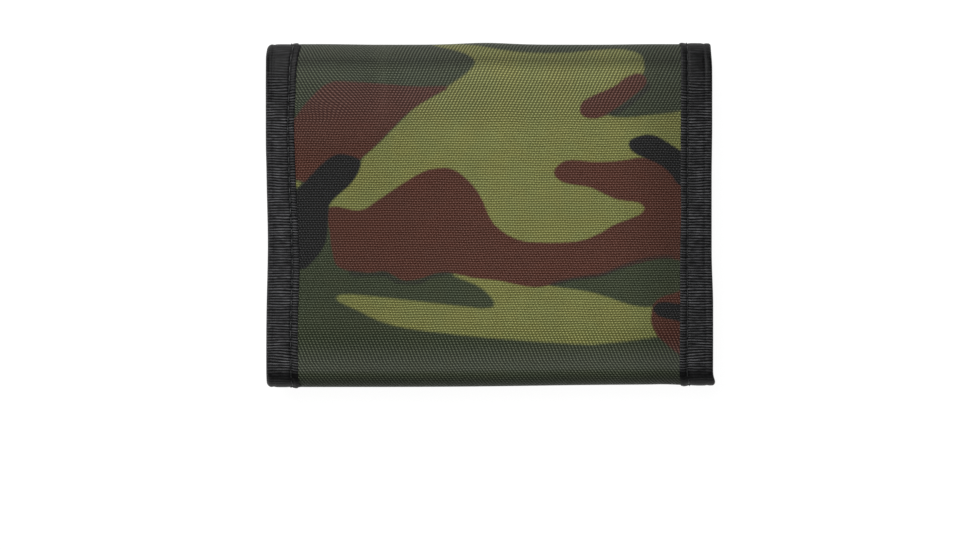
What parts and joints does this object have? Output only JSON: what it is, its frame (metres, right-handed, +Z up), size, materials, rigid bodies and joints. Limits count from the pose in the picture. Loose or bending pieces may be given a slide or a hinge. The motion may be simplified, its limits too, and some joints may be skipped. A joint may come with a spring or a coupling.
{
  "type": "trifold wallet",
  "caption": "Cloth trifold wallet with taped edges that unfolds to show a note compartment, card pockets, a clear card window and a zipped coin pocket.",
  "frame": {"origin": "middle of the closed wallet's underside, the outer face of the outer flap", "axes": "+X along the fold lines, +Y from the bottom fold to the top fold, +Z up through the closed stack to the outer face of the middle panel"},
  "size_m": [0.122, 0.094, 0.019],
  "materials": {
    "camo_cloth": "woven polyester, printed in a woodland pattern",
    "lining_cloth": "plain woven nylon, black",
    "pocket_cloth": "plain woven nylon, black",
    "binding_tape": "ribbed grosgrain tape, black",
    "hook_tape": "hook tape, black",
    "loop_tape": "loop tape, black",
    "clear_vinyl": "soft clear vinyl sheet",
    "zip_tape_cloth": "woven zip tape, black",
    "zip_coil_nylon": "moulded coil, black",
    "black_metal": "black enamelled die casting"
  },
  "bodies": {
    "outer_flap_body": {"hook_strip": "hook_tape", "id_window": "clear_vinyl", "id_window_frame": "binding_tape", "id_window_mouth_binding": "binding_tape", "outer_flap_end_binding": "binding_tape", "outer_flap_left_binding": "binding_tape", "outer_flap_lining": "lining_cloth", "outer_flap_lining_binding": "binding_tape", "outer_flap_right_binding": "binding_tape", "outer_flap_shell": "camo_cloth"},
    "top_fold_body": {"top_fold_left_binding": "binding_tape", "top_fold_lining": "lining_cloth", "top_fold_lining_binding": "binding_tape", "top_fold_right_binding": "binding_tape", "top_fold_shell": "camo_cloth"},
    "middle_body": {"card_pocket_1": "pocket_cloth", "card_pocket_1_binding": "binding_tape", "card_pocket_2": "pocket_cloth", "card_pocket_2_binding": "binding_tape", "card_pocket_3": "pocket_cloth", "card_pocket_3_binding": "binding_tape", "card_pocket_bottom_tape": "binding_tape", "card_pocket_top_tape": "binding_tape", "middle_left_binding": "binding_tape", "middle_lining": "lining_cloth", "middle_lining_binding": "binding_tape", "middle_right_binding": "binding_tape", "middle_shell": "camo_cloth"},
    "bottom_fold_body": {"bottom_fold_left_binding": "binding_tape", "bottom_fold_lining": "lining_cloth", "bottom_fold_lining_binding": "binding_tape", "bottom_fold_right_binding": "binding_tape", "bottom_fold_shell": "camo_cloth"},
    "inner_flap_body": {"coin_pocket_panel": "pocket_cloth", "coin_pocket_strip": "pocket_cloth", "inner_flap_end_binding": "binding_tape", "inner_flap_left_binding": "binding_tape", "inner_flap_lining": "lining_cloth", "inner_flap_lining_binding": "binding_tape", "inner_flap_right_binding": "binding_tape", "inner_flap_shell": "camo_cloth", "loop_strip": "loop_tape", "zip_closed_end_stop_lower": "black_metal", "zip_closed_end_stop_upper": "black_metal", "zip_coil_lower": "zip_coil_nylon", "zip_coil_upper": "zip_coil_nylon", "zip_open_end_stop": "black_metal", "zip_tape_lower": "zip_tape_cloth", "zip_tape_upper": "zip_tape_cloth"},
    "zip_slider_body": {"zip_slider": "black_metal"},
    "zip_pull_body": {"zip_pull": "black_metal"}
  },
  "joints": [
    {"name": "unfold", "type": "hinge", "parent": "outer_flap_body", "child": "top_fold_body", "pos_m": [0, 0.04593, 0.00107], "axis": [-1, 0, 0], "range_deg": [0, 90]},
    {"name": "middle_swing", "type": "hinge", "parent": "top_fold_body", "child": "middle_body", "pos_m": [0, 0.04593, 0.01793], "axis": [-1, 0, 0], "range_deg": [0, 90]},
    {"name": "bottom_fold_swing", "type": "hinge", "parent": "middle_body", "child": "bottom_fold_body", "pos_m": [0, -0.04593, 0.01793], "axis": [-1, 0, 0], "range_deg": [0, 81]},
    {"name": "inner_flap_swing", "type": "hinge", "parent": "bottom_fold_body", "child": "inner_flap_body", "pos_m": [0, -0.04593, 0.00597], "axis": [-1, 0, 0], "range_deg": [0, 81]},
    {"name": "zip_slide", "type": "slide", "parent": "inner_flap_body", "child": "zip_slider_body", "axis": [-1, 0, 0], "range_m": [0, 0.079]},
    {"name": "pull_swing", "type": "hinge", "parent": "zip_slider_body", "child": "zip_pull_body", "pos_m": [0.037, -0.011, 0.0114], "axis": [0, 1, 0], "range_deg": [0, 5]}
  ],
  "couplings": [
    {"joint": "middle_swing", "follows": "unfold", "ratio": 1},
    {"joint": "bottom_fold_swing", "follows": "unfold", "ratio": 0.9},
    {"joint": "inner_flap_swing", "follows": "unfold", "ratio": 0.9}
  ]
}
